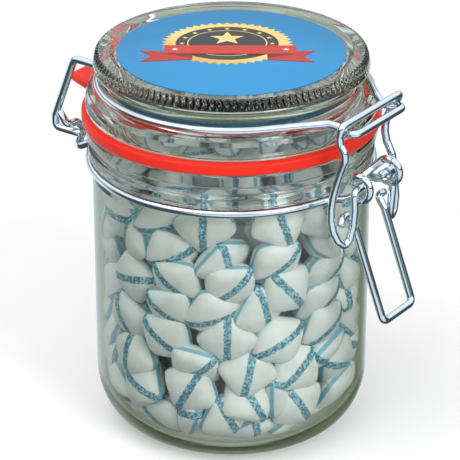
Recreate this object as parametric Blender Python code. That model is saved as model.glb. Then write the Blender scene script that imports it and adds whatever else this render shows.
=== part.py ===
# A clip-top preserving jar of clear glass, shut, and filled with pillow-shaped striped mints.
# Metres, +Z up, base on z = 0. The latch is at -Y, the lid's hinge at +Y. The frame's origin is
# under the middle of the whole, from handle to hinge, so the jar's own axis is a little behind it.
import math

import bmesh
import bpy
import numpy as np
from mathutils import Matrix, Vector

mm = 0.001
gap = 0.3  # between any two pieces, in millimetres like every size below
axisBack = 2.25  # of the jar's axis behind the origin

# jar
bodyRadius = 42.0
wallInside = 40.2
floorInside = 2.8
footRadius = 29.0
cornerHeight = 18.0
grooveRadius = 41.2  # floor of the groove that holds the neck wire
beadRadius = 43.2
neckRadius = 41.6
rimRadius = 44.0
rimTop = 98.9
mouthRadius = 38.7
turnSteps = 36

# lid, gasket, label
gasketRadius = 45.0
gasketInside = 38.6
gasketLow = rimTop + gap
gasketHigh = 102.6
lidLow = gasketHigh + gap
flangeRadius = 43.8
lidTop = 120.8
labelRadius = 34.2
labelThick = 0.3
recessHeight = 119.6

# wires
wireRadius = 1.2
wireSides = 6
neckWireRing = 42.9
neckWireHeight = 86.4
lidWireRing = 40.0
lidWireHeight = 111.2
noseOut = 52.9
noseHalf = 13.6
noseHeight = 110.5
barNear = 16.3
barFar = 15.0
barOut = 50.0
barHeight = 113.3
eyeOut = 50.9  # axis that the bail turns on
eyeHeight = 91.3
eyeLoop = 3.7
eyeSide = 8.0
strandSide = 10.7
curlOut = 47.4  # axis that the handle turns on
curlHeight = 82.3
handleDrop = 33.8
handleLean = 21.5

# mints
mintSide = 14.6
mintThick = 8.6
mintCorner = 3.4
heapLow = 3.3
heapCorner = 20.0  # the heap lies in a rounder corner than the glass has
heapSeed = 11
heapLayers = 10
layerPitch = 8.8
coreRadius = 30.3

for old in list(bpy.data.objects):
    bpy.data.objects.remove(old, do_unlink=True)


def material(name, colour, metallic=0.0, rough=0.4, glass=0.0):
    made = bpy.data.materials.new(name)
    made.use_nodes = True
    shader = made.node_tree.nodes["Principled BSDF"]
    shader.inputs["Base Color"].default_value = (*colour, 1.0)
    shader.inputs["Metallic"].default_value = metallic
    shader.inputs["Roughness"].default_value = rough
    shader.inputs["Transmission Weight"].default_value = glass
    made.diffuse_color = (*colour, 1.0)
    return made


def node(name, bm, look, smooth=True, origin=(0.0, 0.0, 0.0)):
    """One object from a bmesh in millimetres, its origin moved to the given point."""
    bmesh.ops.recalc_face_normals(bm, faces=bm.faces)
    mesh = bpy.data.meshes.new(name)
    bmesh.ops.transform(bm, matrix=Matrix.Scale(mm, 4) @ Matrix.Translation(-Vector(origin)), verts=bm.verts)
    bm.to_mesh(mesh)
    bm.free()
    mesh.polygons.foreach_set("use_smooth", [smooth] * len(mesh.polygons))
    mesh.materials.append(look)
    made = bpy.data.objects.new(name, mesh)
    made.location = (Vector(origin) + Vector((0.0, axisBack, 0.0))) * mm
    bpy.context.scene.collection.objects.link(made)
    return made


def turned(profile, steps=turnSteps):
    """A closed outline of (radius, height) turned about Z; points at radius 0 become poles."""
    bm = bmesh.new()
    rings = []
    for radius, height in profile:
        if radius < 1e-6:
            rings.append([bm.verts.new((0.0, 0.0, height))])
            continue
        angles = [2 * math.pi * k / steps for k in range(steps)]
        rings.append([bm.verts.new((radius * math.cos(a), radius * math.sin(a), height)) for a in angles])
    closed = len(rings[0]) > 1
    pairs = list(zip(rings, rings[1:] + rings[:1])) if closed else list(zip(rings, rings[1:]))
    for one, two in pairs:
        for k in range(steps):
            corners = [one[k % len(one)], one[(k + 1) % len(one)], two[(k + 1) % len(two)], two[k % len(two)]]
            face = list(dict.fromkeys(corners))
            if len(face) > 2:
                bm.faces.new(face)
    return bm


# Wires: a point is (side, out, height), out away from the axis over the latch, side to its left

def rounded(points, radius=2.2, steps=3):
    """The polyline with each corner replaced by a short arc."""
    path = [Vector(p) for p in points]
    made = [path[0]]
    for before, here, after in zip(path, path[1:], path[2:]):
        one = (before - here)
        two = (after - here)
        turn = math.pi - one.angle(two)
        if turn < 0.6:
            made.append(here)
            continue
        reach = min(radius * math.tan(turn / 2), 0.48 * one.length, 0.48 * two.length)
        start = here + one.normalized() * reach
        end = here + two.normalized() * reach
        for k in range(steps + 1):
            t = k / steps
            made.append(start * (1 - t) ** 2 + here * 2 * t * (1 - t) + end * t ** 2)
    made.append(path[-1])
    return made


def wire(bm, points):
    """A round wire swept along the points, its section carried along without twist."""
    path = [Vector((-p[0], -p[1], p[2])) for p in points]
    count = len(path)
    ahead = []
    for k in range(count):
        ahead.append((path[min(k + 1, count - 1)] - path[max(k - 1, 0)]).normalized())
    normal = ahead[0].orthogonal().normalized()
    rings = []
    for k in range(count):
        normal = (normal - ahead[k] * normal.dot(ahead[k])).normalized()
        other = ahead[k].cross(normal)
        ring = []
        for s in range(wireSides):
            a = 2 * math.pi * s / wireSides
            ring.append(bm.verts.new(path[k] + (normal * math.cos(a) + other * math.sin(a)) * wireRadius))
        rings.append(ring)
    bm.faces.new(rings[0][::-1])
    bm.faces.new(rings[-1])
    for one, two in zip(rings, rings[1:]):
        for s in range(wireSides):
            bm.faces.new((one[s], one[(s + 1) % wireSides], two[(s + 1) % wireSides], two[s]))
    bmesh.ops.triangulate(bm, faces=bm.faces)


def ringArc(radius, height, start, end, steps):
    """Wire points round the axis; the angle is 0 over the latch and grows to its left."""
    found = []
    for k in range(steps + 1):
        a = math.radians(start + (end - start) * k / steps)
        found.append((radius * math.sin(a), radius * math.cos(a), height))
    return found


def mirrored(points):
    return [(-p[0], p[1], p[2]) for p in reversed(points)]


def neckWirePath():
    """Round the neck, out into the two eyelets over the latch, back to a ring each side of the hinge."""
    loop = []
    for k in range(9):
        a = math.radians(-125 + 250 * k / 8)
        loop.append((
            eyeSide + 0.3 - 0.6 * k / 8,
            eyeOut + eyeLoop * math.cos(a),
            eyeHeight + eyeLoop * math.sin(a),
        ))
    middle = [(5.6, 46.6, 91.8), (2.6, 45.0, 89.9)]
    hook = [
        (18.6, -51.4, 94.4),
        (18.4, -48.6, 90.4),
        (15.0, -47.6, 90.7),
        (11.4, -47.6, 87.0),
        (15.0, -47.2, 83.3),
        (17.0, -44.8, 83.9),
    ]
    side = hook + ringArc(neckWireRing, neckWireHeight, 158, 17, 18)
    side += [(10.2, 42.6, 86.6), (9.0, 46.6, 87.3)] + loop + middle
    return side + mirrored(side)


def bailPath():
    """Top bar, two bent legs, a hairpin at the foot of each, and a strand up to the eyelet's pin."""
    near = [
        (3.2, eyeOut, eyeHeight),
        (strandSide, eyeOut, eyeHeight),
        (strandSide, 51.2, 86.0),
        (strandSide, 50.8, 80.5),
        (11.4, 50.2, 76.2),
        (13.1, 49.6, 74.6),
        (15.2, 48.6, 76.6),
        (barNear, 47.7, 79.6),
        (barNear, 46.8, 83.0),
        (barNear, 46.8, 87.3),
        (barNear, 47.4, 91.3),
        (barNear, 48.5, 95.4),
        (barNear, 49.8, 99.5),
        (barNear, 51.2, 103.2),
        (barNear, 51.0, 105.4),
        (barNear, 49.5, 107.6),
        (barNear, 49.1, 110.0),
        (barNear, barOut, barHeight),
    ]
    far = [
        (-3.2, eyeOut, eyeHeight),
        (-strandSide, eyeOut, eyeHeight),
        (-strandSide, 50.8, 86.0),
        (-strandSide, 50.4, 80.0),
        (-11.2, 49.8, 76.0),
        (-12.6, 49.4, 74.2),
        (-14.2, 49.3, 76.0),
        (-barFar, 49.2, 80.1),
        (-barFar, 48.8, 84.0),
        (-barFar, 48.2, 89.0),
        (-barFar, 47.6, 93.2),
        (-barFar, 45.6, 97.0),
        (-barFar, 44.9, 100.0),
        (-barFar, 45.0, 102.6),
        (-barFar, 45.8, 105.4),
        (-barFar, 47.1, 108.2),
        (-barFar, barOut, barHeight),
    ]
    return near + far[::-1]


def handlePath():
    """Two curled ends through the bail's hairpins, and a long loop leaning away from the jar."""
    lean = math.radians(handleLean)
    low = (curlOut + handleDrop * math.sin(lean) + 0.6, curlHeight - handleDrop * math.cos(lean))
    near = [
        (13.2, curlOut + 0.6, curlHeight - 1.9),
        (11.2, curlOut, curlHeight),
        (eyeSide, curlOut, curlHeight),
        (eyeSide, curlOut + 2.4, curlHeight - 3.4),
        (eyeSide, low[0], low[1]),
    ]
    far = mirrored(near[2:]) + [(-11.6, curlOut, curlHeight)]
    return near + far


def lidWirePath():
    """Round the lid, out into the nose over the latch, and down behind to the two hinge ends."""
    hinge = [
        (15.0, -45.9, 87.0),
        (15.0, -56.0, 86.9),
        (15.0, -55.9, 91.0),
        (15.0, -47.9, 111.2),
        (15.0, -44.0, lidWireHeight),
    ]
    side = hinge + ringArc(lidWireRing, lidWireHeight, 157, 44, 15)
    side += [(12.9, 43.0, 111.6)]
    nose = [
        (11.6, 46.5, noseHeight + 0.2),
        (12.0, 48.4, noseHeight - 0.2),
        (13.1, 49.8, noseHeight - 0.1),
        (noseHalf, 51.1, noseHeight),
        (13.1, 52.2, noseHeight),
        (12.1, 52.8, noseHeight),
        (10.8, noseOut, noseHeight),
    ]
    back = [(0.905 * p[0], p[1], p[2]) for p in nose]
    return side + nose + mirrored(back) + mirrored(side)


# Mints: one squared pillow, and where each lies in the jar

def roundTurns(count):
    """Evenly spread random turns, as matrices."""
    found = []
    for _ in range(count):
        q = mintRandom.normal(size=4)
        q /= np.linalg.norm(q)
        w, x, y, z = q
        found.append([
            [1 - 2 * (y * y + z * z), 2 * (x * y - z * w), 2 * (x * z + y * w)],
            [2 * (x * y + z * w), 1 - 2 * (x * x + z * z), 2 * (y * z - x * w)],
            [2 * (x * z - y * w), 2 * (y * z + x * w), 1 - 2 * (x * x + y * y)],
        ])
    return np.array(found)


def facingTurn(angle, tilt, lean, roll):
    """A turn that points the pillow's face out at the wall, leaned and rolled in its own plane."""
    out = np.array([math.cos(angle), math.sin(angle), 0.0])
    across = np.array([-math.sin(angle), math.cos(angle), 0.0])
    up = np.array([0.0, 0.0, 1.0])
    normal = out * math.cos(tilt) * math.cos(lean) + up * math.sin(tilt) + across * math.sin(lean) * math.cos(tilt)
    one = across * math.cos(roll) + up * math.sin(roll)
    one -= normal * one.dot(normal)
    one /= np.linalg.norm(one)
    return np.stack([one, np.cross(normal, one), normal], axis=1)


def mintPlaces():
    """Centres and turns of every mint: loose rings in layers, eased apart, settled and spread to the wall."""
    centres, turns = [], []
    free = roundTurns(400)
    for layer in range(heapLayers):
        height = heapLow + 5.0 + layerPitch * layer
        for radius, count in ((34.8, 14), (21.0, 7), (7.0, 2)):
            start = mintRandom.uniform(0, 2 * math.pi)
            for k in range(count):
                angle = start + 2 * math.pi * (k + mintRandom.uniform(-0.22, 0.22)) / count
                far = radius + mintRandom.uniform(-1.0, 1.0)
                lift = mintRandom.uniform(-2.6, 2.6)
                centres.append([far * math.cos(angle), far * math.sin(angle), height + lift])
                facing = mintRandom.uniform() < 0.7
                tilt, lean = mintRandom.normal(0, 0.26, 2)
                roll = mintRandom.uniform(0, math.pi)
                if radius > 30 and facing:
                    turns.append(facingTurn(angle, tilt, lean, roll))
                else:
                    turns.append(free[len(turns)])
    centres, turns = np.array(centres), np.array(turns)
    side, corner = 0.5 * mintSide - 2.6, 0.5 * mintSide - 2.2
    balls = [(0, 0, 3.7)] + [(side * a, side * b, 2.5) for a, b in ((1, 0), (-1, 0), (0, 1), (0, -1))]
    balls += [(corner * a, corner * b, 1.7) for a, b in ((1, 1), (1, -1), (-1, 1), (-1, -1))]
    balls = np.array(balls)
    local = np.concatenate([balls[:, :2], np.zeros((len(balls), 1))], axis=1)
    size = np.tile(balls[:, 2], len(centres))
    owner = np.repeat(np.arange(len(centres)), len(balls))
    reach = size[:, None] + size[None, :]
    reach[owner[:, None] == owner[None, :]] = 0.0
    for step in range(70):
        centres[:, 2] -= 0.16
        centres[:, :2] *= np.where(np.hypot(centres[:, 0], centres[:, 1]) > 27.0, 1.003, 1.0)[:, None]
        points = (np.einsum("nij,bj->nbi", turns, local) + centres[:, None, :]).reshape(-1, 3)
        square = (points ** 2).sum(axis=1)
        near = square[:, None] + square[None, :] - 2 * points @ points.T < reach ** 2
        one, two = np.nonzero(np.triu(near, 1))
        apart = points[one] - points[two]
        length = np.maximum(np.linalg.norm(apart, axis=1), 1e-3)
        push = apart * ((reach[one, two] - length) / length * 0.3)[:, None]
        move = np.zeros_like(points)
        np.add.at(move, one, push)
        np.add.at(move, two, -push)
        points += move
        points = keptInside(points, size)
        points = points.reshape(len(centres), len(balls), 3)
        centres = points.mean(axis=1)
        spread = np.einsum("nbi,bj->nij", points - centres[:, None, :], local)
        spread += 1e-3 * turns
        left, _, right = np.linalg.svd(spread + turns * 8.0)
        sign = np.sign(np.linalg.det(left @ right))
        left[:, :, 2] *= sign[:, None]
        turns = left @ right
    edge = np.array([(x, y, z) for x, y in mintOutline() for z in (-0.5, 0.5)])
    dome = np.array([(0.62 * x, 0.62 * y, z * 0.36 * mintThick) for x, y in mintOutline() for z in (-1, 1)])
    shape = np.concatenate([edge, dome, [(0, 0, 0.5 * mintThick), (0, 0, -0.5 * mintThick)]])
    for _ in range(4):
        points = np.einsum("nij,bj->nbi", turns, shape) + centres[:, None, :]
        held = keptInside(points.reshape(-1, 3).copy(), 0.35 * np.ones(points.shape[0] * points.shape[1]))
        move = held.reshape(points.shape) - points
        pick = np.linalg.norm(move, axis=2).argmax(axis=1)
        centres += move[np.arange(len(centres)), pick]
    return centres, turns


def keptInside(points, size):
    """Points pushed back from the wall, the rounded bottom corner and the floor."""
    far = np.hypot(points[:, 0], points[:, 1])
    rise = np.clip((points[:, 2] - size - floorInside) / (heapCorner - floorInside - size), 0.0, 1.0)
    most = 26.0 + (wallInside - 0.4 - 26.0 - size) * np.sqrt(1 - (1 - rise) ** 2)
    scale = np.minimum(1.0, most / np.maximum(far, 1e-6))
    points[:, 0] *= scale
    points[:, 1] *= scale
    points[:, 2] = np.maximum(points[:, 2], heapLow + size)
    return points


def mintOutline():
    """Eight points round the squared pillow's pinched edge."""
    half = mintSide / 2
    cut = half - mintCorner * 0.75
    return [(half, cut), (cut, half), (-cut, half), (-half, cut), (-half, -cut), (-cut, -half), (cut, -half), (half, -cut)]


def mintMesh(bm, centre, turn):
    """One pillow: two low domes of eight sides meeting at the pinched edge."""
    ring = [bm.verts.new(turn @ np.array([x, y, 0.0]) + centre) for x, y in mintOutline()]
    top = bm.verts.new(turn @ np.array([0.0, 0.0, mintThick / 2]) + centre)
    base = bm.verts.new(turn @ np.array([0.0, 0.0, -mintThick / 2]) + centre)
    for k in range(8):
        bm.faces.new((ring[k], ring[(k + 1) % 8], top))
        bm.faces.new((ring[(k + 1) % 8], ring[k], base))


def heap():
    """The core with every mint that shows from outside fused on, trimmed clear of the glass."""
    look = material("mint", (0.78, 0.82, 0.80), rough=0.6)
    centres, turns = mintPlaces()
    outline = [(0, 9.5), (22, 9.5), (coreRadius, 18), (coreRadius, 76), (22, 79), (0, 79)]
    core = node("mints", turned(outline, 20), look)
    parts = bpy.data.collections.new("mint_parts")
    bpy.context.scene.collection.children.link(parts)
    helpers = []
    for centre, turn in zip(centres, turns):
        if math.hypot(centre[0], centre[1]) < 28.5 and centre[2] < 77.5:
            continue
        bm = bmesh.new()
        mintMesh(bm, centre, turn)
        piece = node("piece", bm, look)
        bpy.context.scene.collection.objects.unlink(piece)
        parts.objects.link(piece)
        helpers.append(piece)
    join = core.modifiers.new("join", "BOOLEAN")
    join.operation = "UNION"
    join.operand_type = "COLLECTION"
    join.collection = parts
    join.solver = "EXACT"
    graph = bpy.context.evaluated_depsgraph_get()
    joined = bpy.data.meshes.new_from_object(core.evaluated_get(graph))
    core.modifiers.clear()
    core.data = joined
    for piece in helpers:
        bpy.data.objects.remove(piece, do_unlink=True)
    bpy.data.collections.remove(parts)
    keepLargest(core)
    return core


def keepLargest(made):
    """Drops sealed hollows and loose scraps, leaving the one outer skin."""
    bm = bmesh.new()
    bm.from_mesh(made.data)
    left = set(bm.verts)
    groups = []
    while left:
        group, edge = set(), [left.pop()]
        while edge:
            vert = edge.pop()
            group.add(vert)
            for link in vert.link_edges:
                other = link.other_vert(vert)
                if other in left:
                    left.discard(other)
                    edge.append(other)
        groups.append(group)
    groups.sort(key=len, reverse=True)
    for group in groups[1:]:
        bmesh.ops.delete(bm, geom=list(group), context="VERTS")
    bmesh.ops.dissolve_degenerate(bm, dist=2e-6, edges=bm.edges)
    bmesh.ops.triangulate(bm, faces=bm.faces)
    bm.to_mesh(made.data)
    bm.free()
    made.data.polygons.foreach_set("use_smooth", [False] * len(made.data.polygons))


# The pieces

glassLook = material("clear_glass", (0.86, 0.90, 0.87), rough=0.02, glass=1.0)
steelLook = material("steel_wire", (0.72, 0.74, 0.76), metallic=1.0, rough=0.15)


def jar():
    corner = []
    for k in range(7):
        a = math.radians(90 * k / 6)
        corner.append((footRadius + (bodyRadius - footRadius) * math.sin(a), cornerHeight * (1 - math.cos(a))))
    outside = [(0, 1.6), (18, 1.2), (23, 0.0)] + corner
    outside += [(bodyRadius, 82.6), (grooveRadius, 84.6), (grooveRadius, 87.7), (beadRadius, 88.4)]
    outside += [(beadRadius, 90.8), (neckRadius, 91.6), (neckRadius, 94.2), (rimRadius - 0.4, 94.9)]
    outside += [(rimRadius, 95.8), (rimRadius, 98.0), (rimRadius - 0.9, rimTop)]
    inside = [(mouthRadius + 0.6, rimTop), (mouthRadius, 98.2), (mouthRadius, 88.0), (wallInside, 82.6)]
    for k in range(6):
        a = math.radians(90 - 90 * k / 5)
        low = footRadius - 1.0
        inside.append((low + (wallInside - low) * math.sin(a), floorInside + (cornerHeight - floorInside) * (1 - math.cos(a))))
    inside.append((0, floorInside + 0.5))
    return node("glass_jar", turned(outside + inside), glassLook)


def lid():
    outside = [(0, recessHeight), (35.0, recessHeight), (36.2, lidTop - 0.2), (39.4, lidTop), (40.4, lidTop - 0.6)]
    outside += [(40.9, 118.4), (41.2, 117.2), (41.2, 115.8), (38.6, 113.4), (38.4, 109.7), (41.6, 109.5)]
    outside += [(42.9, 108.9), (43.5, 107.4), (flangeRadius, 105.6), (flangeRadius, 104.0), (43.4, lidLow)]
    outside += [(38.4, lidLow), (38.1, 100.6), (36.4, 100.4), (35.8, 104.0), (34.4, 110.0), (30.0, 112.6), (0, 113.6)]
    return node("glass_lid", turned(outside), glassLook)


def gasket():
    look = material("red_rubber", (0.78, 0.03, 0.02), rough=0.55)
    ring = [(gasketInside, gasketLow), (gasketRadius - 0.3, gasketLow), (gasketRadius, gasketLow + 0.6)]
    ring += [(gasketRadius, gasketHigh - 0.5), (gasketRadius - 0.3, gasketHigh), (gasketInside, gasketHigh)]
    made = node("gasket", turned(ring), look)
    bm = bmesh.new()
    tab = [(43.0, 102.2), (47.8, 102.2), (52.6, 102.2), (56.2, 101.9), (56.2, 99.9), (52.6, 99.6), (47.8, 99.6), (43.0, 99.6)]
    half = [12.5, 10.8, 8.8, 7.0, 7.0, 8.8, 10.8, 12.5]
    rings = []
    for sign in (-1, 1):
        rings.append([bm.verts.new((sign * w, y, z)) for (y, z), w in zip(tab, half)])
    for k in range(8):
        bm.faces.new((rings[0][k], rings[0][(k + 1) % 8], rings[1][(k + 1) % 8], rings[1][k]))
    for ring in rings:
        for quad in ((0, 1, 6, 7), (1, 2, 5, 6), (2, 3, 4, 5)):
            bm.faces.new([ring[k] for k in quad])
    piece = node("tab", bm, look)
    join = made.modifiers.new("join", "BOOLEAN")
    join.operation = "UNION"
    join.object = piece
    join.solver = "EXACT"
    piece.hide_render = True
    piece.display_type = "WIRE"
    graph = bpy.context.evaluated_depsgraph_get()
    joined = bpy.data.meshes.new_from_object(made.evaluated_get(graph))
    made.modifiers.clear()
    made.data = joined
    bpy.data.objects.remove(piece, do_unlink=True)
    return made


def label():
    look = material("label_print", (0.10, 0.36, 0.73), rough=0.5)
    low = recessHeight + 0.05
    outline = [(0, low + labelThick), (labelRadius, low + labelThick), (labelRadius, low), (0, low)]
    return node("label", turned(outline), look)


def wireNode(name, points, origin=(0.0, 0.0, 0.0)):
    bm = bmesh.new()
    wire(bm, points)
    return node(name, bm, steelLook, origin=origin)


jar()
lid()
gasket()
label()
mintRandom = np.random.RandomState(heapSeed)
heap()
wireNode("neck_wire", rounded(neckWirePath(), 1.8, 2))
wireNode("lid_wire", rounded(lidWirePath(), 3.0, 3))
wireNode("bail", rounded(bailPath(), 2.2, 3), origin=(0.0, -eyeOut, eyeHeight))
wireNode("handle", rounded(handlePath(), 2.2, 3), origin=(0.0, -curlOut, curlHeight))
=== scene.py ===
# A shut clip-top jar of striped pillow mints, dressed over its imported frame.
# Sizes are in millimetres until a piece is made; z = 0 is the table, the latch is at -Y.
import math

import bmesh
import bpy
import numpy as np
from mathutils import Matrix, Vector


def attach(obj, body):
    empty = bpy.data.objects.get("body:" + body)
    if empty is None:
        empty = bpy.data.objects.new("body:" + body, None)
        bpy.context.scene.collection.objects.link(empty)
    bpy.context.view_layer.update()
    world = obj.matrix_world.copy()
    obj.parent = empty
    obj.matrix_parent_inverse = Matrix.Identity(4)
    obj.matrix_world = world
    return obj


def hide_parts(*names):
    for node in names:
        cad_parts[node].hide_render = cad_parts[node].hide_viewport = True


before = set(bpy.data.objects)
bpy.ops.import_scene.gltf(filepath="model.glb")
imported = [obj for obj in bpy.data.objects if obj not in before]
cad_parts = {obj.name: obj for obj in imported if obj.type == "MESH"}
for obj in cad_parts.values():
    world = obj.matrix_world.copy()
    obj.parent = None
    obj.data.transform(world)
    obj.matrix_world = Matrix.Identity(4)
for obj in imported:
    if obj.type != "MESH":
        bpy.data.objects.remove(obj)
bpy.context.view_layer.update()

mm = 0.001
axisBack = 2.25  # the jar's axis lies this far behind the frame's origin
scene = bpy.context.scene
scene.view_settings.view_transform = "Standard"


# shader helpers

class Sock:
    # a socket that takes part in plain arithmetic
    def __init__(self, look, out):
        self.look = look
        self.out = out

    def maths(self, operation, *values):
        return self.look.node("ShaderNodeMath", {"operation": operation}, dict(enumerate(values)))

    def __add__(self, other):
        return self.maths("ADD", self, other)

    def __radd__(self, other):
        return self.maths("ADD", other, self)

    def __sub__(self, other):
        return self.maths("SUBTRACT", self, other)

    def __rsub__(self, other):
        return self.maths("SUBTRACT", other, self)

    def __mul__(self, other):
        return self.maths("MULTIPLY", self, other)

    def __rmul__(self, other):
        return self.maths("MULTIPLY", other, self)

    def __abs__(self):
        return self.maths("ABSOLUTE", self)

    def step(self, low, high):
        # 0 below low, 1 above high, smooth between; low may be the larger
        found = {"Value": self, "From Min": low, "From Max": high}
        return self.look.node("ShaderNodeMapRange", {"interpolation_type": "SMOOTHSTEP"}, found)


class Look:
    # a node tree with one way to add a node
    def __init__(self, name, world=None):
        self.made = world or bpy.data.materials.new(name)
        self.made.use_nodes = True
        self.tree = self.made.node_tree
        self.shader = None if world else self.tree.nodes["Principled BSDF"]

    def put(self, socket, value):
        if isinstance(value, Sock):
            self.tree.links.new(value.out, socket)
        elif isinstance(value, (tuple, list)) and len(value) == 3 and socket.type == "RGBA":
            socket.default_value = (*value, 1.0)
        else:
            socket.default_value = value

    def node(self, kind, settings=None, values=None, out=0):
        made = self.tree.nodes.new(kind)
        for name, value in (settings or {}).items():
            if name == "stops":
                ramp = made.color_ramp
                while len(ramp.elements) < len(value):
                    ramp.elements.new(1.0)
                for element, (place, colour) in zip(ramp.elements, value):
                    element.position = place
                    element.color = (*colour, 1.0)
            else:
                setattr(made, name, value)
        for key, value in (values or {}).items():
            self.put(made.inputs[key], value)
        return Sock(self, made.outputs[out])

    def mix(self, share, one, two):
        return self.node("ShaderNodeMix", {"data_type": "RGBA"}, {0: share, 6: one, 7: two}, 2)

    def split(self, vector):
        parts = self.node("ShaderNodeSeparateXYZ", None, {0: vector})
        return [Sock(self, out) for out in parts.out.node.outputs]

    def noise(self, at, scale, detail=2.0, rough=0.5):
        found = {"Vector": at, "Scale": scale, "Detail": detail, "Roughness": rough}
        return self.node("ShaderNodeTexNoise", None, found, "Fac")

    def place(self):
        return self.node("ShaderNodeTexCoord", None, None, "Object")

    def bump(self, height, distance, strength=1.0):
        found = {"Height": height, "Distance": distance, "Strength": strength}
        self.set(Normal=self.node("ShaderNodeBump", None, found))

    def set(self, **values):
        names = {
            "Base": "Base Color",
            "Rough": "Roughness",
            "Clear": "Transmission Weight",
            "Gloss": "Specular IOR Level",
        }
        for name, value in values.items():
            self.put(self.shader.inputs[names.get(name, name)], value)


# mesh helpers

def piece(name, points, faces, look, body, nodes, smooth=True):
    # a mesh about the jar's axis that rides on a body and takes the place of CAD nodes
    mesh = bpy.data.meshes.new(name)
    points = (np.asarray(points, float) + np.array([0.0, axisBack, 0.0])) * mm
    mesh.from_pydata(points.tolist(), [], faces)
    mesh.materials.append(look)
    mesh.polygons.foreach_set("use_smooth", [smooth] * len(mesh.polygons))
    bm = bmesh.new()
    bm.from_mesh(mesh)
    bmesh.ops.recalc_face_normals(bm, faces=bm.faces)
    bm.to_mesh(mesh)
    bm.free()
    made = bpy.data.objects.new(name, mesh)
    scene.collection.objects.link(made)
    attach(made, body)
    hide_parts(*nodes)
    return made


def softened(points, radius, steps=5, least=0.12):
    # each corner of an open polyline becomes a short curve
    path = [Vector(p) for p in points]
    found = [path[0]]
    for before, here, after in zip(path, path[1:], path[2:]):
        one = before - here
        two = after - here
        turn = math.pi - one.angle(two)
        if turn < least:
            found.append(here)
            continue
        reach = min(radius * math.tan(turn / 2), 0.49 * one.length, 0.49 * two.length)
        start = here + one.normalized() * reach
        end = here + two.normalized() * reach
        for k in range(steps + 1):
            t = k / steps
            found.append(start * (1 - t) ** 2 + here * 2 * t * (1 - t) + end * t ** 2)
    found.append(path[-1])
    return found


def turnedMesh(profile, steps, wave=None):
    # a closed outline of (radius, height) turned about the axis; wave(radius, height, angle) moves points
    points, rings, faces = [], [], []
    for radius, height in profile:
        if radius < 1e-6:
            rings.append([len(points)])
            points.append((0.0, 0.0, height))
            continue
        rings.append(list(range(len(points), len(points) + steps)))
        for k in range(steps):
            a = 2 * math.pi * k / steps
            r, z = wave(radius, height, a) if wave else (radius, height)
            points.append((r * math.cos(a), r * math.sin(a), z))
    closed = len(rings[0]) > 1
    for one, two in zip(rings, rings[1:] + rings[:1] if closed else rings[1:]):
        for k in range(steps):
            corners = [one[k % len(one)], one[(k + 1) % len(one)], two[(k + 1) % len(two)], two[k % len(two)]]
            face = list(dict.fromkeys(corners))
            if len(face) > 2:
                faces.append(face)
    return points, faces


def wireMesh(points, radius, sides=16):
    # a round wire along (side, out, height) points, its cut ends slightly rounded
    path = [Vector((-p[0], -p[1], p[2])) for p in points]
    clean = [path[0]]
    for p in path[1:]:
        if (p - clean[-1]).length > 0.05:
            clean.append(p)
    path = clean
    ahead = [(path[min(k + 1, len(path) - 1)] - path[max(k - 1, 0)]).normalized() for k in range(len(path))]
    stations = [(path[0], ahead[0], 0.72 * radius), (path[0] + ahead[0] * 0.28, ahead[0], radius)]
    stations += [(p, a, radius) for p, a in zip(path[1:-1], ahead[1:-1])]
    stations += [(path[-1] - ahead[-1] * 0.28, ahead[-1], radius), (path[-1], ahead[-1], 0.72 * radius)]
    normal = ahead[0].orthogonal().normalized()
    found, faces = [], []
    for place, along, size in stations:
        normal = (normal - along * normal.dot(along)).normalized()
        other = along.cross(normal)
        for s in range(sides):
            a = 2 * math.pi * s / sides
            found.append(tuple(place + (normal * math.cos(a) + other * math.sin(a)) * size))
    for k in range(len(stations) - 1):
        for s in range(sides):
            t = (s + 1) % sides
            faces.append((k * sides + s, k * sides + t, (k + 1) * sides + t, (k + 1) * sides + s))
    faces.append(tuple(range(sides))[::-1])
    faces.append(tuple(range((len(stations) - 1) * sides, len(stations) * sides)))
    return found, faces


# looks

glassTint = {
    "clear": (0.97, 0.985, 0.975),
    "deep": (0.94, 0.97, 0.95),
    "body": (0.62, 0.74, 0.62),
    "depth": 22.0,  # how fast thick glass takes on the body's colour
    "smear": 0.02,  # roughness where it is smeared
}
glassWaves = {
    "jar": {"scale": 38.0, "depth": 0.00002},
    "lid": {"scale": 60.0, "depth": 0.00005},
}
# painted reflection: a flat olive laid on the base's low corner where it is seen edge on
paintedBaseReflection = {
    "top": 0.020,  # it begins this far above the table, in metres
    "full": 0.010,
    "from": 0.35,  # how far edge on it begins
    "to": 0.75,
    "share": 0.55,
    "colour": (0.20, 0.25, 0.15),
}


def glassLook(name, wave, paintedEdge=None):
    tint = glassTint
    look = Look(name)
    at = look.place()
    smear = look.noise(at, 90.0, 3.0)
    look.set(
        Base=look.mix(smear, tint["clear"], tint["deep"]),
        Rough=smear.step(0.3, 0.9) * tint["smear"],
        Clear=1.0,
        IOR=1.5,
    )
    look.bump(look.noise(at, wave["scale"], 1.0), wave["depth"])
    # light on its way to the mints passes straight through the wall
    shadow = look.node("ShaderNodeLightPath", None, None, "Is Shadow Ray")
    through = look.node("ShaderNodeBsdfTransparent", None, {"Color": tint["clear"]})
    shader = Sock(look, look.shader.outputs[0])
    both = look.node("ShaderNodeMixShader", None, {0: shadow, 1: shader, 2: through})
    if paintedEdge:
        # painted reflection: where the low corner of the base is seen edge on, a flat olive diffuse colour is
        # mixed in to stand in for what the thick glass reflects and bends there
        low = look.split(at)[2].step(paintedEdge["top"], paintedEdge["full"])
        facing = look.node("ShaderNodeLayerWeight", None, {"Blend": 0.5}, "Facing")
        side = facing.step(paintedEdge["from"], paintedEdge["to"])
        thick = look.node("ShaderNodeBsdfDiffuse", None, {"Color": paintedEdge["colour"]})
        both = look.node("ShaderNodeMixShader", None, {0: low * side * paintedEdge["share"], 1: both, 2: thick})
    body = look.node("ShaderNodeVolumeAbsorption", None, {"Color": tint["body"], "Density": tint["depth"]})
    end = look.tree.nodes["Material Output"]
    look.tree.links.new(both.out, end.inputs["Surface"])
    look.tree.links.new(body.out, end.inputs["Volume"])
    return look.made


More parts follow.
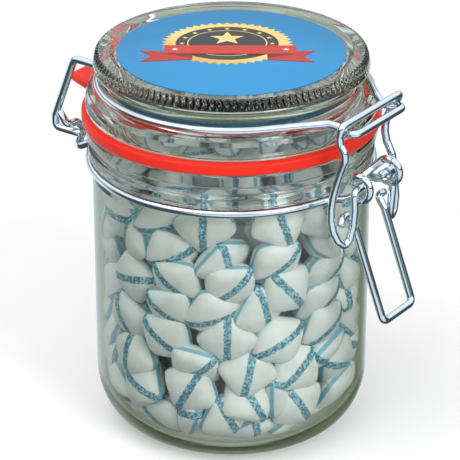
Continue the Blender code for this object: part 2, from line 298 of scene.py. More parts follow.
def steelLook():
    look = Look("brightSteel")
    at = look.place()
    drawn = look.noise(at, 420.0, 3.0)
    worn = look.noise(at, 55.0, 2.0)
    look.set(
        Base=look.mix(worn, (0.66, 0.74, 0.79), (0.80, 0.87, 0.92)),
        Metallic=1.0,
        Rough=drawn * 0.05 + worn * 0.06 + 0.05,
    )
    look.bump(drawn, 0.00001)
    return look.made


def rubberLook():
    look = Look("redRubber")
    at = look.place()
    grain = look.noise(at, 900.0, 4.0)
    patch = look.noise(at, 40.0, 2.0)
    look.set(
        Base=look.mix(patch, (0.84, 0.020, 0.008), (0.93, 0.032, 0.013)),
        Rough=grain * 0.15 + 0.38,
        Gloss=0.25,
    )
    look.bump(grain, 0.00003)
    return look.made


def paperLook(name, one, two, rough=0.45):
    look = Look(name)
    at = look.place()
    grain = look.noise(at, 700.0, 4.0)
    patch = look.noise(at, 60.0, 2.0)
    look.set(Base=look.mix(patch, one, two), Rough=grain * 0.1 + rough)
    look.bump(grain, 0.000006)
    return look.made


def goldLook():
    # a printed gold that runs from pale to deep across the badge
    look = Look("goldPrint")
    at = look.place()
    grain = look.noise(at, 700.0, 3.0)
    across = look.split(at)[0] * 30.0 + 0.5
    sweep = look.node("ShaderNodeValToRGB", {"stops": (
        (0.0, (0.64, 0.33, 0.05)),
        (0.35, (0.80, 0.50, 0.12)),
        (0.7, (0.93, 0.74, 0.28)),
        (1.0, (0.90, 0.66, 0.20)),
    )}, {0: across + grain * 0.2})
    look.set(Base=sweep, Rough=grain * 0.1 + 0.35)
    look.bump(grain, 0.000006)
    return look.made


mintColours = {
    "sugar": (0.74, 0.765, 0.745),
    "sugarShade": (0.56, 0.605, 0.58),
    "stripe": (0.008, 0.105, 0.185),
    "stripePale": (0.25, 0.53, 0.60),
    "seam": (0.075, 0.31, 0.42),
    "stripeHalf": 1.15,
    "seamHalf": 0.5,
}


def mintLook():
    look = Look("stripedMint")
    here = look.node("ShaderNodeAttribute", {"attribute_name": "spot"}, None, "Vector")
    tone = look.node("ShaderNodeAttribute", {"attribute_name": "tone"}, None, "Fac")
    x, y, z = look.split(here)
    at = look.place()
    cloud = look.noise(at, 160.0, 3.0)
    grit = look.noise(at, 1300.0, 3.0, 0.7)
    ragged = look.noise(at, 700.0, 3.0, 0.7)
    off = abs((x - y) * 0.7071) + (ragged - 0.5) * 1.1
    half = mintColours["stripeHalf"]
    stripe = off.step(half + 0.2, half - 0.2)
    edge = mintColours["seamHalf"]
    seam = (abs(z) + (cloud - 0.5) * 0.7 + (ragged - 0.5) * 0.4).step(edge + 0.4, edge - 0.1) * 0.85
    body = look.mix(cloud.step(0.35, 0.75), mintColours["sugar"], mintColours["sugarShade"])
    body = look.mix(tone, body, mintColours["sugarShade"])
    speckled = look.mix(grit.step(0.47, 0.58), mintColours["stripe"], mintColours["stripePale"])
    body = look.mix(seam, body, mintColours["seam"])
    body = look.mix(stripe * 0.95, body, speckled)
    look.set(Base=body, Rough=cloud * 0.2 + 0.40)
    look.bump(grit * 0.35 + cloud, 0.00012, 0.6)
    return look.made


def coreLook():
    # painted shade: a dull dark grey-green for the mints that lie in shade deep in the heap
    look = Look("heapShade")
    at = look.place()
    cloud = look.noise(at, 120.0, 3.0)
    look.set(Base=look.mix(cloud, (0.20, 0.27, 0.27), (0.38, 0.45, 0.43)), Rough=0.8)
    look.bump(cloud, 0.001)
    return look.made


glass = glassLook("clearGlass", glassWaves["jar"], paintedBaseReflection)
lidGlass = glassLook("lidGlass", glassWaves["lid"])
steel = steelLook()
rubber = rubberLook()
print("looks are ready")


# jar

jarSizes = {
    "bodyRadius": 42.0,
    "wallInside": 40.2,
    "floorInside": 2.8,
    "footRadius": 29.0,
    "cornerHeight": 18.0,
    "cornerSteps": 16,
    "around": 144,
}


def glassJar():
    s = jarSizes
    outside = [(0, 1.6), (17.5, 1.2), (20.5, 0.5), (23, 0.0)]
    for k in range(s["cornerSteps"] + 1):
        a = math.radians(90 * k / s["cornerSteps"])
        outside.append((
            s["footRadius"] + (s["bodyRadius"] - s["footRadius"]) * math.sin(a),
            s["cornerHeight"] * (1 - math.cos(a)),
        ))
    outside += [(42.0, 82.2), (41.2, 84.8), (41.2, 87.6), (43.2, 88.2), (43.2, 91.0), (41.6, 91.7)]
    outside += [(41.6, 94.3), (43.9, 94.8), (44.0, 98.9), (42.5, 98.9)]
    inside = [(39.2, 98.9), (38.7, 97.9), (38.7, 88.0), (s["wallInside"], 82.6)]
    for k in range(s["cornerSteps"] + 1):
        a = math.radians(90 - 90 * k / s["cornerSteps"])
        low = s["footRadius"] - 1.0
        inside.append((
            low + (s["wallInside"] - low) * math.sin(a),
            s["floorInside"] + (s["cornerHeight"] - s["floorInside"]) * (1 - math.cos(a)),
        ))
    inside.append((0, s["floorInside"] + 0.5))
    profile = [tuple(p) for p in softened(outside + inside, 0.9, 5)]
    points, faces = turnedMesh(profile, s["around"])
    piece("glassJar", points, faces, glass, "jar", ["glass_jar"])


glassJar()
print("jar")

# lid

lidSizes = {
    "ribs": 122,
    "ribDepth": 0.9,
    "ribRadius": 40.7,
    "ribHeight": 120.1,
    "ribReach": 1.3,
    "around": 976,
}


def ribWave(radius, height, angle):
    # fine ribs pressed round the top outer edge
    s = lidSizes
    away = math.hypot(radius - s["ribRadius"], height - s["ribHeight"]) / s["ribReach"]
    if away >= 1:
        return radius, height
    depth = s["ribDepth"] * (1 - away * away) * (0.5 - 0.5 * math.cos(s["ribs"] * angle))
    return radius - depth * 0.72, height - depth * 0.69


def glassLid():
    outside = [(0, 119.6), (34.9, 119.6), (36.2, 120.6), (39.3, 120.8), (40.0, 120.6), (40.6, 120.0)]
    outside += [(40.9, 118.9), (41.0, 117.5), (41.3, 116.9), (41.2, 115.7), (38.7, 113.4), (38.4, 109.7)]
    outside += [(41.6, 109.5), (42.9, 108.9), (43.5, 107.4), (43.8, 105.6), (43.8, 103.9), (43.3, 102.9)]
    inside = [(38.6, 102.9), (38.1, 100.8), (37.2, 100.3), (36.4, 100.8), (35.8, 104.0), (34.4, 110.0)]
    inside += [(30.0, 112.8), (0, 113.6)]
    profile = [tuple(p) for p in softened(outside + inside, 0.7, 3, 0.2)]
    points, faces = turnedMesh(profile, lidSizes["around"], ribWave)
    piece("glassLid", points, faces, lidGlass, "jar", ["glass_lid"])


glassLid()
print("lid")

# gasket

gasketSizes = {"inside": 38.6, "outside": 45.0, "low": 99.2, "high": 102.6, "around": 144}


def gasket():
    s = gasketSizes
    ring = [(s["inside"], 100.9), (s["inside"], s["low"]), (s["outside"], s["low"])]
    ring += [(s["outside"], s["high"]), (s["inside"], s["high"]), (s["inside"], 100.9)]
    profile = [tuple(p) for p in softened(ring, 0.75, 4)][:-1]
    points, faces = turnedMesh(profile, s["around"])
    # the pull tab over the hinge: (out, height) of its middle line, half width, half thickness
    middle = [
        (43.0, 100.9, 12.5, 1.3),
        (47.8, 100.9, 10.8, 1.3),
        (52.6, 100.9, 8.8, 1.3),
        (55.2, 100.9, 7.6, 1.25),
        (56.0, 100.9, 7.0, 1.05),
        (56.2, 100.9, 6.4, 0.7),
    ]
    stations = []
    for one, two in zip(middle, middle[1:]):
        for k in range(4):
            stations.append([a + (b - a) * k / 4 for a, b in zip(one, two)])
    stations.append(list(middle[-1]))
    around = 24
    first = len(points)
    for k, (out, height, half, thick) in enumerate(stations):
        after = stations[min(k + 1, len(stations) - 1)]
        before = stations[max(k - 1, 0)]
        ahead = np.array(after[:2]) - np.array(before[:2])
        ahead /= np.linalg.norm(ahead)
        for j in range(around):
            a = 2 * math.pi * (j + 0.5) / around
            wide = math.copysign(abs(math.cos(a)) ** 0.35, math.cos(a)) * half
            deep = math.copysign(abs(math.sin(a)) ** 0.5, math.sin(a)) * thick
            points.append((wide, out - ahead[1] * deep, height + ahead[0] * deep))
    for k in range(len(stations) - 1):
        for j in range(around):
            t = (j + 1) % around
            one, two = first + k * around, first + (k + 1) * around
            faces.append((one + j, one + t, two + t, two + j))
    faces.append(tuple(range(first, first + around)))
    faces.append(tuple(range(len(points) - around, len(points))))
    piece("gasketRing", points, faces, rubber, "jar", ["gasket"])


gasket()
print("gasket")

# label: a plain disc with a toothed badge and a folded ribbon, each colour its own thin layer

labelSizes = {
    "radius": 34.2,
    "low": 119.65,
    "thick": 0.3,
    "layer": 0.03,
    "turn": -54.6,  # the print stands upright from here
    "teeth": 46,
    "badge": (-1.3, 6.0),
    "badgeSquash": 0.87,
}


def layerMesh(outline, low, high, points, faces):
    # a flat prism over an outline of (x, y); it shares the lists of its print
    first, count = len(points), len(outline)
    points += [(x, y, low) for x, y in outline] + [(x, y, high) for x, y in outline]
    faces.append(tuple(range(first + count, first + 2 * count)))
    faces.append(tuple(range(first, first + count))[::-1])
    for k in range(count):
        t = (k + 1) % count
        faces.append((first + k, first + t, first + count + t, first + count + k))


def ringPoints(radius, count, centre=(0.0, 0.0), inner=None, squash=1.0):
    # round, or toothed between two radii, and flattened by squash
    found = []
    for k in range(count):
        a = 2 * math.pi * k / count
        r = inner if inner and k % 2 else radius
        found.append((centre[0] + r * math.sin(a), centre[1] + r * math.cos(a) * squash))
    return found


def label():
    s = labelSizes
    a = math.radians(s["turn"])
    blue = paperLook("bluePrint", (0.026, 0.278, 0.585), (0.030, 0.290, 0.605))
    disc = [(0, s["low"] + s["thick"]), (s["radius"] - 0.05, s["low"] + s["thick"])]
    disc += [(s["radius"], s["low"] + s["thick"] - 0.06), (s["radius"], s["low"]), (0, s["low"])]
    points, faces = turnedMesh(disc, 144)
    piece("labelDisc", points, faces, blue, "jar", ["label"])
    centre, squash = s["badge"], s["badgeSquash"]
    gold = goldLook()
    black = paperLook("blackPrint", (0.006, 0.006, 0.007), (0.02, 0.02, 0.022), 0.3)
    red = paperLook("redPrint", (0.56, 0.032, 0.018), (0.66, 0.045, 0.022), 0.4)
    tail = paperLook("redTailPrint", (0.44, 0.028, 0.014), (0.54, 0.04, 0.02), 0.42)
    shade = paperLook("redShadePrint", (0.16, 0.010, 0.008), (0.22, 0.014, 0.010), 0.45)
    white = paperLook("whitePrint", (0.80, 0.80, 0.78), (0.86, 0.86, 0.84))

    def stars(places, size):
        return [ringPoints(size, 10, place, size * 0.42) for place in places]

    ringed = []
    for k in range(-4, 5):
        t = math.radians(k * 23)
        ringed.append((centre[0] + 13.5 * math.sin(t), centre[1] + 13.5 * squash * math.cos(t)))
    prints = [
        ("badgeTeeth", gold, 1, [ringPoints(19.7, 2 * s["teeth"], centre, 18.1, squash)]),
        ("badgeDisc", black, 2, [ringPoints(15.4, 96, centre, None, squash)]),
        ("badgeLine", gold, 3, [ringPoints(12.0, 96, centre, None, squash)]),
        ("badgeHeart", black, 4, [ringPoints(11.6, 96, centre, None, squash)]),
        ("badgeStars", gold, 5, stars(ringed, 0.9) + [ringPoints(5.4, 10, (centre[0], 9.8), 2.3)]),
        ("ribbonTails", tail, 6, [
            [(-27.2, -0.2), (-11.6, -2.0), (-11.6, -7.3), (-27.0, -9.0), (-23.6, -4.4)],
            [(24.8, -0.4), (10.6, -2.0), (10.6, -7.5), (24.2, -9.4), (21.2, -4.8)],
        ]),
        ("ribbonFolds", shade, 7, [
            [(-19.8, -2.6), (-11.6, -2.8), (-11.6, -6.0)],
            [(19.2, -2.9), (10.6, -2.8), (10.6, -6.2)],
        ]),
        ("ribbonBand", red, 8, [[(-19.9, 3.8), (19.3, 3.6), (19.3, -3.0), (-19.9, -2.7)]]),
        ("ribbonStars", white, 9, stars([(-16.8, 0.6), (16.2, 0.4)], 1.15)),
    ]
    for name, look, layer, outlines in prints:
        points, faces = [], []
        for outline in outlines:
            turned = [
                (x * math.cos(a) - y * math.sin(a), x * math.sin(a) + y * math.cos(a))
                for x, y in outline
            ]
            base = s["low"] + s["thick"] - 0.02
            layerMesh(turned, base, base + 0.02 + s["layer"] * layer, points, faces)
        piece(name, points, faces, look, "jar", ["label"], smooth=False)


label()
print("label")

# wires, along the same lines as the frame's

wireSizes = {
    "radius": 1.2,
    "neckRing": 42.9, "neckHeight": 86.4,
    "lidRing": 40.0, "lidHeight": 111.2,
    "noseOut": 52.9, "noseHalf": 13.6, "noseHeight": 110.5,
    "barNear": 16.3, "barFar": 15.0, "barOut": 50.0, "barHeight": 113.3,
    "eyeOut": 50.9, "eyeHeight": 91.3, "eyeLoop": 3.7, "eyeSide": 8.0,
    "strandSide": 10.7,
    "curlOut": 47.4, "curlHeight": 82.3,
    "handleDrop": 33.8, "handleLean": 21.5,
}


def ringArc(radius, height, start, end, steps):
    found = []
    for k in range(steps + 1):
        a = math.radians(start + (end - start) * k / steps)
        found.append((radius * math.sin(a), radius * math.cos(a), height))
    return found


def mirrored(points):
    return [(-p[0], p[1], p[2]) for p in reversed(points)]


def neckWire():
    s = wireSizes
    loop = []
    for k in range(17):
        a = math.radians(-125 + 250 * k / 16)
        loop.append((
            s["eyeSide"] + 0.3 - 0.6 * k / 16,
            s["eyeOut"] + s["eyeLoop"] * math.cos(a),
            s["eyeHeight"] + s["eyeLoop"] * math.sin(a),
        ))
    middle = [(5.6, 46.6, 91.8), (2.6, 45.0, 89.9)]
    hook = [
        (18.6, -51.4, 94.4),
        (18.4, -48.6, 90.4),
        (15.0, -47.6, 90.7),
        (11.4, -47.6, 87.0),
        (15.0, -47.2, 83.3),
        (17.0, -44.8, 83.9),
    ]
    side = hook + ringArc(s["neckRing"], s["neckHeight"], 158, 17, 54)
    side += [(10.2, 42.6, 86.6), (9.0, 46.6, 87.3)] + loop + middle
    points, faces = wireMesh(softened(side + mirrored(side), 1.8, 6, 0.3), s["radius"])
    piece("neckWire", points, faces, steel, "jar", ["neck_wire"])


def lidWire():
    s = wireSizes
    hinge = [
        (15.0, -45.9, 87.0),
        (15.0, -56.0, 86.9),
        (15.0, -55.9, 91.0),
        (15.0, -47.9, 111.2),
        (15.0, -44.0, s["lidHeight"]),
    ]
    side = hinge + ringArc(s["lidRing"], s["lidHeight"], 157, 44, 46)
    side += [(12.9, 43.0, 111.6)]
    high = s["noseHeight"]
    nose = [
        (11.6, 46.5, high + 0.2),
        (12.0, 48.4, high - 0.2),
        (13.1, 49.8, high - 0.1),
        (s["noseHalf"], 51.1, high),
        (13.1, 52.2, high),
        (12.1, 52.8, high),
        (10.8, s["noseOut"], high),
    ]
    back = [(0.905 * p[0], p[1], p[2]) for p in nose]  # the far corner is bent a little tighter
    path = softened(side + nose + mirrored(back) + mirrored(side), 3.0, 7, 0.2)
    points, faces = wireMesh(path, s["radius"])
    piece("lidWire", points, faces, steel, "jar", ["lid_wire"])


def bailWire():
    s = wireSizes
    near = [
        (3.2, s["eyeOut"], s["eyeHeight"]),
        (s["strandSide"], s["eyeOut"], s["eyeHeight"]),
        (s["strandSide"], 51.2, 86.0),
        (s["strandSide"], 50.8, 80.5),
        (11.4, 50.2, 76.2),
        (13.1, 49.6, 74.6),
        (15.2, 48.6, 76.6),
        (s["barNear"], 47.7, 79.6),
        (s["barNear"], 46.8, 83.0),
        (s["barNear"], 46.8, 87.3),
        (s["barNear"], 47.4, 91.3),
        (s["barNear"], 48.5, 95.4),
        (s["barNear"], 49.8, 99.5),
        (s["barNear"], 51.2, 103.2),
        (s["barNear"], 51.0, 105.4),
        (s["barNear"], 49.5, 107.6),
        (s["barNear"], 49.1, 110.0),
        (s["barNear"], s["barOut"], s["barHeight"]),
    ]
    far = [
        (-3.2, s["eyeOut"], s["eyeHeight"]),
        (-s["strandSide"], s["eyeOut"], s["eyeHeight"]),
        (-s["strandSide"], 50.8, 86.0),
        (-s["strandSide"], 50.4, 80.0),
        (-11.2, 49.8, 76.0),
        (-12.6, 49.4, 74.2),
        (-14.2, 49.3, 76.0),
        (-s["barFar"], 49.2, 80.1),
        (-s["barFar"], 48.8, 84.0),
        (-s["barFar"], 48.2, 89.0),
        (-s["barFar"], 47.6, 93.2),
        (-s["barFar"], 45.6, 97.0),
        (-s["barFar"], 44.9, 100.0),
        (-s["barFar"], 45.0, 102.6),
        (-s["barFar"], 45.8, 105.4),
        (-s["barFar"], 47.1, 108.2),
        (-s["barFar"], s["barOut"], s["barHeight"]),
    ]
    points, faces = wireMesh(softened(near + far[::-1], 2.2, 7, 0.15), s["radius"])
    piece("bailWire", points, faces, steel, "bail", ["bail"])


def handleWire():
    s = wireSizes
    lean = math.radians(s["handleLean"])
    low = (
        s["curlOut"] + s["handleDrop"] * math.sin(lean) + 0.6,
        s["curlHeight"] - s["handleDrop"] * math.cos(lean),
    )
    near = [
        (13.2, s["curlOut"] + 0.6, s["curlHeight"] - 1.9),
        (11.2, s["curlOut"], s["curlHeight"]),
        (s["eyeSide"], s["curlOut"], s["curlHeight"]),
        (s["eyeSide"], s["curlOut"] + 2.4, s["curlHeight"] - 3.4),
        (s["eyeSide"], low[0], low[1]),
    ]
    far = mirrored(near[2:]) + [(-11.6, s["curlOut"], s["curlHeight"])]
    points, faces = wireMesh(softened(near + far, 2.2, 7, 0.15), s["radius"])
    piece("handleWire", points, faces, steel, "handle", ["handle"])


neckWire()
lidWire()
bailWire()
handleWire()
print("wires")

# mints

mintSizes = {
    "side": 14.6,
    "thick": 8.6,
    "corner": 3.4,
    "heapLow": 3.3,
    "seed": 11,
    "layers": 10,
    "pitch": 8.8,
    "floor": 2.8,
    "heapFoot": 26.0,
    "heapCorner": 20.0,
    "wall": 40.2,
    "rings": ((34.8, 14), (21.0, 7), (7.0, 2)),  # radius and count in each layer
    "settling": 70,  # steps in which the heap is eased apart
    "hiddenRadius": 17.0,  # mints nearer the axis than this are left out
    "hiddenBelow": 66.0,
    "toneSeed": 5,
    "grid": 12,
    "edge": 0.7,  # half of the pinched edge's thickness
    "bow": 5.5,  # how square the outline stays
    "crown": 2.6,  # how flat the middle of a face is
    "shoulder": 0.52,  # how full it is towards the edge
}
mintRandom = np.random.RandomState(mintSizes["seed"])


def roundTurns(count):
    found = []
    for _ in range(count):
        q = mintRandom.normal(size=4)
        q /= np.linalg.norm(q)
        w, x, y, z = q
        found.append([
            [1 - 2 * (y * y + z * z), 2 * (x * y - z * w), 2 * (x * z + y * w)],
            [2 * (x * y + z * w), 1 - 2 * (x * x + z * z), 2 * (y * z - x * w)],
            [2 * (x * z - y * w), 2 * (y * z + x * w), 1 - 2 * (x * x + y * y)],
        ])
    return np.array(found)


def facingTurn(angle, tilt, lean, roll):
    # points the pillow's face out at the wall, leaned and rolled in its own plane
    out = np.array([math.cos(angle), math.sin(angle), 0.0])
    across = np.array([-math.sin(angle), math.cos(angle), 0.0])
    up = np.array([0.0, 0.0, 1.0])
    normal = out * math.cos(tilt) * math.cos(lean)
    normal = normal + up * math.sin(tilt) + across * math.sin(lean) * math.cos(tilt)
    one = across * math.cos(roll) + up * math.sin(roll)
    one -= normal * one.dot(normal)
    one /= np.linalg.norm(one)
    return np.stack([one, np.cross(normal, one), normal], axis=1)


def keptInside(points, size):
    # pushed back from the wall, the rounded bottom corner and the floor
    s = mintSizes
    far = np.hypot(points[:, 0], points[:, 1])
    rise = np.clip((points[:, 2] - size - s["floor"]) / (s["heapCorner"] - s["floor"] - size), 0.0, 1.0)
    foot = s["heapFoot"]
    most = foot + (s["wall"] - 0.4 - foot - size) * np.sqrt(1 - (1 - rise) ** 2)
    scale = np.minimum(1.0, most / np.maximum(far, 1e-6))
    points[:, 0] *= scale
    points[:, 1] *= scale
    points[:, 2] = np.maximum(points[:, 2], s["heapLow"] + size)
    return points


def mintOutline():
    half = mintSizes["side"] / 2
    cut = half - mintSizes["corner"] * 0.75
    right = [(half, cut), (cut, half)]
    left = [(-cut, half), (-half, cut)]
    return right + left + [(-x, -y) for x, y in right + left]


def mintPlaces():
    s = mintSizes
    centres, turns = [], []
    free = roundTurns(400)
    for layer in range(s["layers"]):
        height = s["heapLow"] + 5.0 + s["pitch"] * layer
        for radius, count in s["rings"]:
            start = mintRandom.uniform(0, 2 * math.pi)
            for k in range(count):
                angle = start + 2 * math.pi * (k + mintRandom.uniform(-0.22, 0.22)) / count
                far = radius + mintRandom.uniform(-1.0, 1.0)
                lift = mintRandom.uniform(-2.6, 2.6)
                centres.append([far * math.cos(angle), far * math.sin(angle), height + lift])
                facing = mintRandom.uniform() < 0.7
                tilt, lean = mintRandom.normal(0, 0.26, 2)
                roll = mintRandom.uniform(0, math.pi)
                if radius > 30 and facing:
                    turns.append(facingTurn(angle, tilt, lean, roll))
                else:
                    turns.append(free[len(turns)])
    centres, turns = np.array(centres), np.array(turns)
    # each mint is nine balls while the heap is eased apart and settles
    side, corner = 0.5 * s["side"] - 2.6, 0.5 * s["side"] - 2.2
    balls = [(0, 0, 3.7)] + [(side * a, side * b, 2.5) for a, b in ((1, 0), (-1, 0), (0, 1), (0, -1))]
    balls += [(corner * a, corner * b, 1.7) for a, b in ((1, 1), (1, -1), (-1, 1), (-1, -1))]
    balls = np.array(balls)
    local = np.concatenate([balls[:, :2], np.zeros((len(balls), 1))], axis=1)
    size = np.tile(balls[:, 2], len(centres))
    owner = np.repeat(np.arange(len(centres)), len(balls))
    reach = size[:, None] + size[None, :]
    reach[owner[:, None] == owner[None, :]] = 0.0
    for _ in range(s["settling"]):
        centres[:, 2] -= 0.16
        centres[:, :2] *= np.where(np.hypot(centres[:, 0], centres[:, 1]) > 27.0, 1.003, 1.0)[:, None]
        points = (np.einsum("nij,bj->nbi", turns, local) + centres[:, None, :]).reshape(-1, 3)
        square = (points ** 2).sum(axis=1)
        near = square[:, None] + square[None, :] - 2 * points @ points.T < reach ** 2
        one, two = np.nonzero(np.triu(near, 1))
        apart = points[one] - points[two]
        length = np.maximum(np.linalg.norm(apart, axis=1), 1e-3)
        push = apart * ((reach[one, two] - length) / length * 0.3)[:, None]
        move = np.zeros_like(points)
        np.add.at(move, one, push)
        np.add.at(move, two, -push)
        points += move
        points = keptInside(points, size)
        points = points.reshape(len(centres), len(balls), 3)
        centres = points.mean(axis=1)
        spread = np.einsum("nbi,bj->nij", points - centres[:, None, :], local)
        spread += 1e-3 * turns
        left, _, right = np.linalg.svd(spread + turns * 8.0)
        sign = np.sign(np.linalg.det(left @ right))
        left[:, :, 2] *= sign[:, None]
        turns = left @ right
    edge = np.array([(x, y, z) for x, y in mintOutline() for z in (-0.5, 0.5)])
    dome = np.array([(0.62 * x, 0.62 * y, z * 0.36 * s["thick"]) for x, y in mintOutline() for z in (-1, 1)])
    shape = np.concatenate([edge, dome, [(0, 0, 0.5 * s["thick"]), (0, 0, -0.5 * s["thick"])]])
    for _ in range(4):
        points = np.einsum("nij,bj->nbi", turns, shape) + centres[:, None, :]
        held = keptInside(points.reshape(-1, 3).copy(), 0.35 * np.ones(points.shape[0] * points.shape[1]))
        move = held.reshape(points.shape) - points
        pick = np.linalg.norm(move, axis=2).argmax(axis=1)
        centres += move[np.arange(len(centres)), pick]
    return centres, turns


def pillow():
    # one mint's points and faces: two low four-sided domes that meet at a pinched edge
    s = mintSizes
    n = s["grid"]
    half = s["side"] / 2
    points, faces = [], []

    def spread(k):
        # closer together towards the edges
        t = 2 * k / n - 1
        return math.sin(math.pi / 2 * t) * 0.8 + t * 0.2

    for sign in (1, -1):
        first = len(points)
        for j in range(n + 1):
            for i in range(n + 1):
                u, v = spread(i), spread(j)
                most = max(abs(u), abs(v), 1e-9)
                norm = (abs(u) ** s["bow"] + abs(v) ** s["bow"]) ** (1 / s["bow"])
                scale = half * most / max(norm, 1e-9)
                swell = max(0.0, 1 - abs(u) ** s["crown"]) * max(0.0, 1 - abs(v) ** s["crown"])
                swell = swell if swell > 1e-6 else 0.0
                rise = s["edge"] + (s["thick"] / 2 - s["edge"]) * swell ** s["shoulder"]
                points.append((u * scale, v * scale, sign * rise))
        for j in range(n):
            for i in range(n):
                a = first + j * (n + 1) + i
                quad = (a, a + 1, a + n + 2, a + n + 1)
                faces.append(quad if sign > 0 else quad[::-1])
    rim = list(range(n)) + [n + (n + 1) * j for j in range(n)]
    rim += [(n + 1) * n + i for i in range(n, 0, -1)] + [(n + 1) * j for j in range(n, 0, -1)]
    lower = (n + 1) * (n + 1)
    for a, b in zip(rim, rim[1:] + rim[:1]):
        faces.append((a, lower + a, lower + b, b))
    return np.array(points), faces


def mints():
    s = mintSizes
    centres, turns = mintPlaces()
    shape, sides = pillow()
    tones = np.random.RandomState(s["toneSeed"])
    points, faces, spots, shades = [], [], [], []
    for centre, turn in zip(centres, turns):
        shade = tones.uniform(0.0, 0.7)
        if math.hypot(centre[0], centre[1]) < s["hiddenRadius"] and centre[2] < s["hiddenBelow"]:
            continue
        first = len(points) * len(shape)
        points.append(shape @ turn.T + centre)
        faces += [tuple(first + k for k in face) for face in sides]
        spots.append(shape)
        shades.append(np.full(len(shape), shade))
    print("mints shown:", len(points), "faces:", 2 * len(faces))
    made = piece("mints", np.concatenate(points), faces, mintLook(), "jar", ["mints"])
    spot = made.data.attributes.new("spot", "FLOAT_VECTOR", "POINT")
    spot.data.foreach_set("vector", np.concatenate(spots).ravel())
    tone = made.data.attributes.new("tone", "FLOAT", "POINT")
    tone.data.foreach_set("value", np.concatenate(shades))


def heapCore():
    # painted shade: a dark core stands in for the shaded mints deep in the heap that show between the outer
    # ones
    outline = [(0, 8.0), (17, 8.0), (24, 14), (25, 20), (25, 70), (20, 74), (0, 74)]
    outline = [tuple(p) for p in softened(outline, 3.0, 4)]
    points, faces = turnedMesh(outline, 48)
    piece("heapCore", points, faces, coreLook(), "jar", ["mints"])


mints()
heapCore()
print("mints")

# floor, light and camera

stageSizes = {"floorRadius": 0.16, "floorSteps": 96, "glow": 0.16}


def floor():
    s = stageSizes
    look = Look("paleFloor")
    at = look.place()
    look.set(Base=look.mix(look.noise(at, 8.0), (0.86, 0.86, 0.86), (0.88, 0.88, 0.88)), Rough=0.9)
    look.put(look.shader.inputs["Emission Color"], (1.0, 1.0, 1.0))
    look.put(look.shader.inputs["Emission Strength"], s["glow"])
    bm = bmesh.new()
    bmesh.ops.create_circle(bm, cap_ends=True, segments=s["floorSteps"], radius=s["floorRadius"])
    mesh = bpy.data.meshes.new("paleFloor")
    bm.to_mesh(mesh)
    bm.free()
    mesh.materials.append(look.made)
    made = bpy.data.objects.new("paleFloor", mesh)
    made.location = (0.0, 0.0, -0.0001)
    made.visible_glossy = False
    made.visible_transmission = False
    scene.collection.objects.link(made)


skySizes = {
    "low": (0.52, 0.53, 0.53),
    "high": (0.70, 0.70, 0.70),
    "panelTurn": -35.0,  # the bright panels that the wires mirror stand here and opposite
    "panelDark": (0.06, 0.085, 0.095),
    "panelBright": (0.82, 0.93, 1.0),
    "woodScale": 3.0,
}


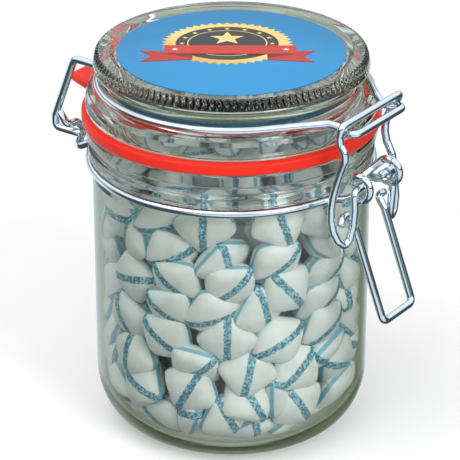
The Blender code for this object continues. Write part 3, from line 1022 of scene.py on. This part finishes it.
def studio():
    # white behind the jar; soft grey light on it; panels for the wires and a dark room behind the glass
    world = bpy.data.worlds.new("studio")
    scene.world = world
    look = Look("studio", world)
    look.tree.nodes.clear()
    way = look.node("ShaderNodeTexCoord", None, None, "Generated")
    x, y, up = look.split(way)
    s = skySizes
    soft = look.mix(up * 0.5 + 0.5, s["low"], s["high"])

    turn = math.radians(s["panelTurn"])
    ahead = abs(x * math.sin(turn) - y * math.cos(turn))
    panels = look.mix(ahead.step(0.45, 0.75), s["panelDark"], s["panelBright"])
    bands = look.node("ShaderNodeValToRGB", {"stops": (
        (0.0, (0.0, 0.0, 0.0)),
        (0.48, (0.0, 0.0, 0.0)),
        (0.54, (0.03, 0.05, 0.07)),
        (0.60, (0.35, 0.42, 0.47)),
        (0.68, (1.0, 1.05, 1.1)),
        (1.0, (1.1, 1.15, 1.2)),
    )}, {0: up * 0.5 + 0.5})
    mirrors = look.mix(up.step(0.0, 0.08), panels, bands)

    stretch = look.node("ShaderNodeCombineXYZ", None, {0: x, 1: y, 2: up * 14.0})
    streak = look.noise(stretch, s["woodScale"], 4.0, 0.65)
    wood = look.node("ShaderNodeValToRGB", {"stops": (
        (0.30, (0.012, 0.008, 0.006)),
        (0.45, (0.10, 0.045, 0.018)),
        (0.58, (0.33, 0.17, 0.075)),
        (0.75, (0.80, 0.66, 0.50)),
    )}, {0: streak})
    room = look.node("ShaderNodeValToRGB", {"stops": (
        (0.0, (0.46, 0.49, 0.42)),
        (0.16, (0.38, 0.41, 0.34)),
        (0.27, (0.24, 0.28, 0.21)),
        (0.36, (0.30, 0.33, 0.29)),
        (0.50, (0.42, 0.44, 0.42)),
        (0.56, (0.60, 0.62, 0.60)),
        (0.70, (0.95, 0.95, 0.95)),
        (1.0, (1.1, 1.1, 1.1)),
    )}, {0: up * 0.5 + 0.5})
    grained = abs(up + 0.17).step(0.17, 0.11)
    behind = look.mix(grained * 0.9, room, wood)

    def path(which):
        return look.node("ShaderNodeLightPath", None, None, which)

    first = 1 - path("Diffuse Depth").step(0.4, 0.6)
    seen = look.mix(path("Is Glossy Ray") * first, soft, mirrors)
    seen = look.mix(path("Is Transmission Ray") * first, seen, behind)
    seen = look.mix(path("Is Camera Ray"), seen, (1.0, 1.0, 1.0))
    back = look.node("ShaderNodeBackground", None, {"Color": seen, "Strength": 1.0})
    end = look.tree.nodes.new("ShaderNodeOutputWorld")
    look.tree.links.new(back.out, end.inputs["Surface"])


lightAim = (0.0, 0.0, 0.06)
lightSizes = {
    "softTop": {"azimuth": -110.0, "elevation": 62.0, "far": 0.9, "size": (0.7, 0.7), "power": 3.2},
    "softSide": {"azimuth": -18.0, "elevation": 32.0, "far": 1.0, "size": (0.35, 0.6), "power": 3.6},
}


def outwards(azimuth, elevation):
    # the way from the jar towards a light or the camera
    a, e = math.radians(azimuth), math.radians(elevation)
    return Vector((math.sin(a) * math.cos(e), -math.cos(a) * math.cos(e), math.sin(e)))


def softLight(name, azimuth, elevation, far, size, power):
    light = bpy.data.lights.new(name, "AREA")
    light.shape = "RECTANGLE"
    light.size, light.size_y = size
    light.energy = power
    made = bpy.data.objects.new(name, light)
    way = outwards(azimuth, elevation)
    made.location = Vector(lightAim) + way * far
    made.rotation_euler = way.to_track_quat("Z", "Y").to_euler()
    scene.collection.objects.link(made)


cameraSizes = {
    "azimuth": -54.6,
    "elevation": 25.5,
    "distance": 0.800,
    "aim": (0.0, 0.00225, 0.061),
    "lens": 204.35,
    "shift": -0.0033,
}


def photoCamera():
    s = cameraSizes
    data = bpy.data.cameras.new("photoCamera")
    data.lens = s["lens"]
    data.sensor_width = 36.0
    data.shift_x = s["shift"]
    data.clip_start = 0.01
    made = bpy.data.objects.new("photoCamera", data)
    a = math.radians(s["azimuth"])
    back = outwards(s["azimuth"], s["elevation"])
    right = Vector((math.cos(a), math.sin(a), 0.0))
    turn = Matrix((right, back.cross(right), back)).transposed()
    made.matrix_world = Matrix.Translation(Vector(s["aim"]) + back * s["distance"]) @ turn.to_4x4()
    scene.collection.objects.link(made)
    scene.camera = made


floor()
studio()
for lightName, sizes in lightSizes.items():
    softLight(lightName, **sizes)
photoCamera()
print("floor, light and camera")
